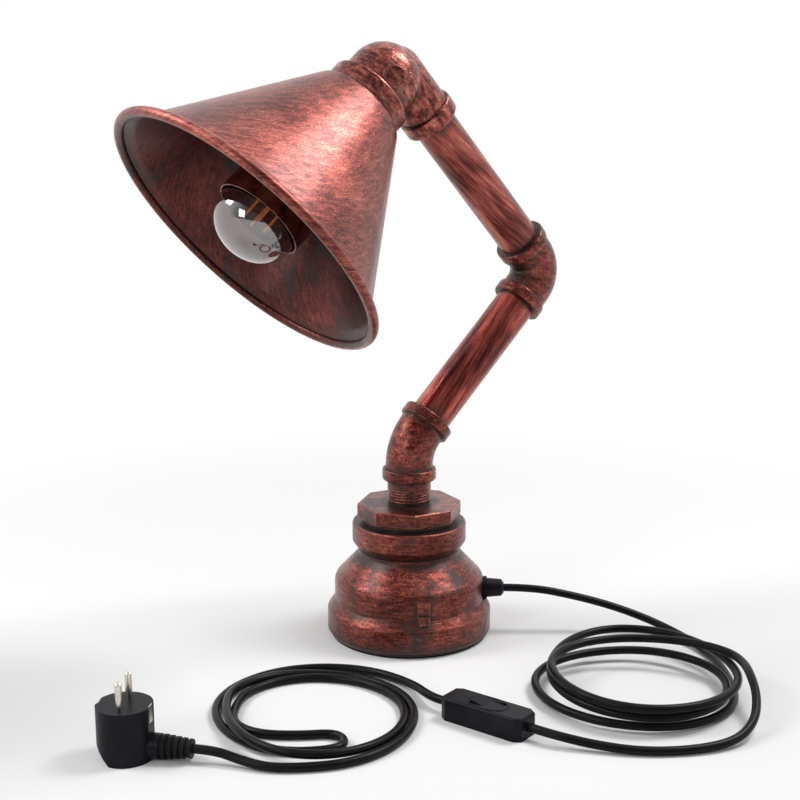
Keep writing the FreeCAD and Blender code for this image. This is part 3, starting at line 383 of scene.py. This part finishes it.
# The cup is tinted darker than the other red parts, as painted shade for its place deep inside the shade
dress(lacquer("red_cup", SHADE_FRAME, streak=300, length=0.3, fine_share=0.2, soot_shade_onset=0.78, soot_scale=30,
              soot_length=0.5, wear=0.2, rough=0.4, tint=(0.5, 0.36, 0.36), crevice_shade=0.2), "holder_cup")
dress(lacquer("red_pipe_lower", LOWER_FRAME, streak=620, length=BRUSHED, twist=7.0, fine_share=0.45,
              soot_shade_onset=0.635, soot_scale=60, soot_length=0.25, wear=0.4, rough=0.26,
              tint=(1.15, 0.85, 0.85)), "lower_pipe")
dress(lacquer("red_pipe_upper", UPPER_FRAME, streak=620, length=BRUSHED, twist=10.0, fine_share=0.5,
              soot_shade_onset=0.585, soot_scale=60, soot_length=0.25, wear=0.4, rough=0.3,
              tint=(0.95, 0.85, 0.85)), "upper_pipe")
dress(lacquer("red_fitting", BASE_FRAME, streak=620, length=0.8, fine_share=0.55, soot_shade_onset=0.545,
              soot_scale=60, rough=0.32, pits=0.6, tint=(0.66, 0.54, 0.51), crevice_shade=0.9),
      "elbow_low", "elbow_middle")
top_skin = dress(lacquer("red_fitting_top", SHADE_FRAME, streak=620, length=0.8, fine_share=0.35,
                         soot_shade_onset=0.66, soot_scale=40, rough=0.28, pits=0.3, tint=(0.92, 0.88, 0.86),
                         crevice_shade=0.9), "elbow_top")
dress(lacquer("red_casting", BASE_FRAME, streak=620, length=1.4, fine_share=0.6, soot_shade_onset=0.525,
              soot_scale=46, rough=0.33, pits=0.6, tint=(0.68, 0.56, 0.52), crevice_shade=0.9),
      "base_reducer", "base_bushing")
steel_skin = dress(lacquer("dark_steel", BASE_FRAME, streak=500, length=1.0, fine_share=0.5, soot_shade_onset=0.58,
                           soot_scale=90, rough=0.3, tint=(0.75, 0.6, 0.62)), "riser_nipple")


# Black plastic, rubber and the sheath of the cord
def moulded(name, colour, rough, grain, strength):
    """Black plastic or rubber with a fine skin."""
    g = Graph(name)
    skin = g.noise(g.local, 5.0, 0.6, scale=grain)
    smudge = g.noise(g.local, 3.0, 0.5, scale=60.0)
    tone = g.blend(g.ramp(smudge, (0.35, 0.0), (0.7, 1.0)), colour, tuple(c * 1.7 for c in colour))
    return g.surface(Base_Color=tone, Roughness=g.plus(rough, g.times(smudge, 0.14)),
                     Normal=g.bump(skin, strength, 0.15 * MM), Specular_IOR_Level=0.12)


black_skin = dress(moulded("black_plastic", (0.0055, 0.006, 0.009), 0.30, 900.0, 0.25), "switch_base",
                   "switch_cover", "switch_rocker", "cord_gland", "gland_nut", "lamp_holder", "plug_body")
dress(moulded("black_rubber", (0.005, 0.0055, 0.0065), 0.40, 700.0, 0.35), "plug_relief")
dress(moulded("foot_rubber", (0.012, 0.012, 0.012), 0.7, 500.0, 0.5), "foot_pad")
cord.data.materials.append(moulded("cord_sheath", (0.005, 0.005, 0.006), 0.24, 260.0, 0.2))


# Bare and plated metal
def bright_metal(name, colour, rough, axis_frame=BASE_FRAME):
    """Metal with fine marks turned about the local Z axis."""
    g = Graph(name, axis_frame)
    turned = g.noise(g.stretched(200, 2600), 3.0, 0.6)
    tone = g.ramp(turned, (0.3, tuple(c * 0.62 for c in colour)), (0.65, colour))
    return g.surface(Base_Color=tone, Metallic=1.0, Roughness=g.plus(rough, g.times(turned, 0.16)),
                     Normal=g.bump(turned, 0.15, 0.1 * MM))


dress(bright_metal("nickel", (0.78, 0.72, 0.62), 0.14), "plug_pin_1", "plug_pin_2", "plug_clip_1",
      "plug_clip_2")
dress(bright_metal("bare_steel", (0.45, 0.44, 0.42), 0.25, SHADE_FRAME), "mouth_plug", "entry_tube",
      "nut_upper", "nut_lower", "switch_pin")
dress(bright_metal("brass_contact", (0.72, 0.52, 0.24), 0.2, SHADE_FRAME), "lamp_contact")
dress(bright_metal("cap_metal", (0.74, 0.72, 0.68), 0.2, SHADE_FRAME), "bulb_cap")

# Bulb: glass, stem and filaments
INNER_SHINE = 0.06


def clear_glass(name, tint, mirror, rough, middle):
    """Thin glass: it lets light straight through, and its outer face mirrors more at a slant."""
    g = Graph(name, SHADE_FRAME)
    ripple = g.noise(g.local, 2.0, 0.5, scale=38.0)
    normal = g.bump(ripple, 0.1, 0.5 * MM)
    outward = g.combine("SUBTRACT", g.local, (0.0, 0.0, middle))
    toward = g.combine("DOT_PRODUCT", g.local_normal(), outward)
    outer = g.calculate("GREATER_THAN", toward, 0.0)
    front = g.minus(1.0, g.add("NewGeometry").outputs["Backfacing"])
    visible = g.times(front, g.plus(g.times(outer, 1.0 - INNER_SHINE), INNER_SHINE))
    slant = g.add("Fresnel", IOR=1.5, Normal=normal).outputs[0]
    share = g.calculate("MINIMUM", g.plus(g.times(slant, 1.2), mirror), 1.0)
    through = g.add("BsdfTransparent", Color=tint)
    shine = g.add("BsdfGlossy", Color=(1.0, 1.0, 1.0), Roughness=rough, Normal=normal)
    return g.finish(g.mix_shaders(g.times(share, visible), through, shine))


dress(clear_glass("bulb_glass", (0.96, 0.95, 0.94), mirror=0.17, rough=0.03, middle=0.1655), "bulb_glass")
dress(clear_glass("stem_glass", (0.9, 0.9, 0.88), mirror=0.06, rough=0.1, middle=0.12), "bulb_stem")
glow = Graph("filament", SHADE_FRAME)
grains = glow.noise(glow.local, 3.0, 0.6, scale=900.0)
dress(glow.surface(Base_Color=glow.ramp(grains, (0.35, (0.42, 0.09, 0.02)), (0.65, (0.72, 0.20, 0.05))),
                   Roughness=0.5, Emission_Color=(0.8, 0.22, 0.04), Emission_Strength=0.12),
      "filament_1", "filament_2", "filament_3", "filament_4")


# Pieces that the scene adds, with sizes in millimetres
def add_mesh(name, build, material, body, place=None):
    mesh = bpy.data.meshes.new(name)
    shape = bmesh.new()
    build(shape)
    bmesh.ops.recalc_face_normals(shape, faces=shape.faces)
    for face in shape.faces:
        face.smooth = True
    shape.to_mesh(mesh)
    shape.free()
    if place is not None:
        mesh.transform(place)
    item = bpy.data.objects.new(name, mesh)
    scene.collection.objects.link(item)
    mesh.materials.append(material)
    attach(item, body)
    return item


def band(shape, one, two):
    """Faces between two loops of points."""
    for k in range(len(one)):
        after = (k + 1) % len(one)
        shape.faces.new((one[k], one[after], two[after], two[k]))


def turns(count):
    return [2 * math.pi * i / count for i in range(count)]


# Screw threads
THREAD_PITCH = 2.309
THREAD_ROOT = 0.3
THREAD_HALF = 0.42
THREAD_FADE = 12


def helix(inner, outer, low, high, steps):
    """A screw thread: a three-sided ridge wound on a cylinder, faded in and out at its ends."""
    def build(shape):
        count = int((high - low) / THREAD_PITCH * steps)
        rings = []
        for i in range(count + 1):
            angle = 2 * math.pi * i / steps
            height = low + (high - low) * i / count
            fade = min(1.0, i / THREAD_FADE, (count - i) / THREAD_FADE)
            crest = inner + (outer - inner) * fade
            root = inner - THREAD_ROOT
            rings.append([shape.verts.new(point(radius * math.cos(angle), radius * math.sin(angle),
                                                height + offset * THREAD_PITCH))
                          for radius, offset in ((root, -THREAD_HALF), (crest, 0.0), (root, THREAD_HALF))])
        for one, two in zip(rings, rings[1:]):
            band(shape, one, two)
        shape.faces.new(rings[0])
        shape.faces.new(rings[-1])
    return build


add_mesh("riser_thread", helix(17.0, 17.9, 112.4, 129.6, steps=64), steel_skin, "base")
add_mesh("bushing_thread", helix(37.3, 38.3, 96.4, 99.2, steps=96), steel_skin, "base")


# Hoops: a boss ring and a dimple on the top elbow, and an oval bezel round the rocker of the switch
def hoop(path, thickness, rise, steps, sides):
    """A closed hoop in the local XY plane, on a path that gives its middle and its outward direction."""
    def build(shape):
        loops = []
        for angle in turns(steps):
            middle, outward = path(math.cos(angle), math.sin(angle))
            loops.append([shape.verts.new((middle + outward * thickness * math.cos(turn)
                                           + Vector((0, 0, rise * math.sin(turn)))) * MM)
                          for turn in turns(sides)])
        for one, two in zip(loops, loops[1:] + loops[:1]):
            band(shape, one, two)
    return build


def round_path(radius):
    return lambda c, s: (Vector((c, s, 0)) * radius, Vector((c, s, 0)))


def oval_path(length, width):
    def path(c, s):
        x = math.copysign(abs(c) ** 0.8, c) * length / 2
        y = math.copysign(abs(s) ** 0.8, s) * width / 2
        return Vector((x, y, 0)), Vector((x / length ** 2, y / width ** 2, 0)).normalized()
    return path


BALL_CENTRE = TOP_BEND + SHADE_DIR * 13.0 * MM
BOSS_DIR = (TOP_ACROSS * 0.17 + UPPER_DIR.cross(TOP_ACROSS) * 0.94 + UPPER_DIR * 0.29).normalized()
BOSS_REACH = 29.5
DIMPLE_DIR = (BOSS_DIR + Vector((0.62, 0.10, 0.08))).normalized()
DIMPLE_REACH = 28.5
SWITCH_TOP = 17.0
boss_place = axes_at(BALL_CENTRE + BOSS_DIR * BOSS_REACH * MM, BOSS_DIR)
add_mesh("cast_boss_ring", hoop(round_path(7.9), 0.9, 0.55, steps=48, sides=10), top_skin, "head",
         place=boss_place)
dimple_place = axes_at(BALL_CENTRE + DIMPLE_DIR * DIMPLE_REACH * MM, DIMPLE_DIR)
add_mesh("cast_dimple", hoop(round_path(1.5), 0.55, 0.35, steps=24, sides=8), top_skin, "head",
         place=dimple_place)
switch_place = (Matrix.Translation(point(SWITCH_CENTRE.x, SWITCH_CENTRE.y, SWITCH_TOP))
                @ Matrix.Rotation(SWITCH_HEADING, 4, "Z"))
bezel = add_mesh("switch_bezel", hoop(oval_path(31.0, 18.6), 0.9, 0.5, steps=64, sides=8), black_skin,
                 "base", place=switch_place)

# Floor: pale and matt, brighter to the eye so that it meets the white backdrop
FLOOR_HALF = 30
FADE_START = 0.3
FADE_END = 0.75
floor_mesh = bpy.data.meshes.new("floor")
floor_mesh.from_pydata([(-FLOOR_HALF, -FLOOR_HALF, 0), (FLOOR_HALF, -FLOOR_HALF, 0),
                        (FLOOR_HALF, FLOOR_HALF, 0), (-FLOOR_HALF, FLOOR_HALF, 0)], [], [(0, 1, 2, 3)])
floor = bpy.data.objects.new("floor", floor_mesh)
scene.collection.objects.link(floor)
ground = Graph("floor")
rays = ground.add("LightPath").outputs
seen = ground.larger(rays["Is Camera Ray"],
                     ground.larger(rays["Is Glossy Ray"], rays["Is Transmission Ray"]))
paper = ground.add("BsdfDiffuse", Color=ground.blend(seen, (0.65, 0.65, 0.65), (0.86, 0.86, 0.858)))
white = ground.add("Emission", Color=(1.0, 1.0, 1.0), Strength=1.0)
distance = ground.add("VectorMath", {"operation": "LENGTH"}, Vector=ground.local).outputs["Value"]
away = ground.add("MapRange", {"interpolation_type": "SMOOTHSTEP"}, Value=distance, From_Min=FADE_START,
                  From_Max=FADE_END).outputs[0]
floor_mesh.materials.append(ground.finish(ground.mix_shaders(ground.times(away, seen), paper, white)))

# World: white to the eye, soft grey as a light, dim behind the viewer in reflections
SOFT_LIGHT = 0.45
world = bpy.data.worlds.new("studio")
scene.world = world
studio = Tree(world)
rays = studio.add("LightPath").outputs
toward = studio.add("SeparateXYZ", Vector=studio.add("TexCoord").outputs["Generated"])
behind = studio.add("MapRange", {"interpolation_type": "SMOOTHSTEP"}, Value=toward.outputs[1],
                    From_Min=-0.9, From_Max=-0.15, To_Min=0.12, To_Max=1.0).outputs[0]
mirror = studio.larger(rays["Is Glossy Ray"], rays["Is Transmission Ray"])
other_level = studio.plus(studio.times(mirror, behind), studio.times(studio.minus(1.0, mirror), SOFT_LIGHT))
level = studio.larger(rays["Is Camera Ray"], other_level)
background = studio.add("Background", Color=(1.0, 1.0, 1.0), Strength=level)
studio.add("OutputWorld", Surface=background.outputs[0])


# Softboxes in metres and watts
def softbox(name, place, target, width, height, power):
    lamp = bpy.data.lights.new(name, "AREA")
    lamp.shape = "RECTANGLE"
    lamp.size = width
    lamp.size_y = height
    lamp.energy = power
    item = bpy.data.objects.new(name, lamp)
    item.location = place
    item.rotation_euler = (Vector(target) - Vector(place)).to_track_quat("-Z", "Y").to_euler()
    scene.collection.objects.link(item)


softbox("right_softbox", (0.86, 0.22, 1.45), (-0.03, -0.06, 0.25), width=0.5, height=0.62, power=15.0)
softbox("left_softbox", (-1.05, -0.12, 1.15), (0, 0, 0.15), width=0.45, height=0.65, power=8.5)
softbox("front_softbox", (-1.0, -1.25, 0.75), (0, 0, 0.2), width=0.45, height=0.6, power=4.0)
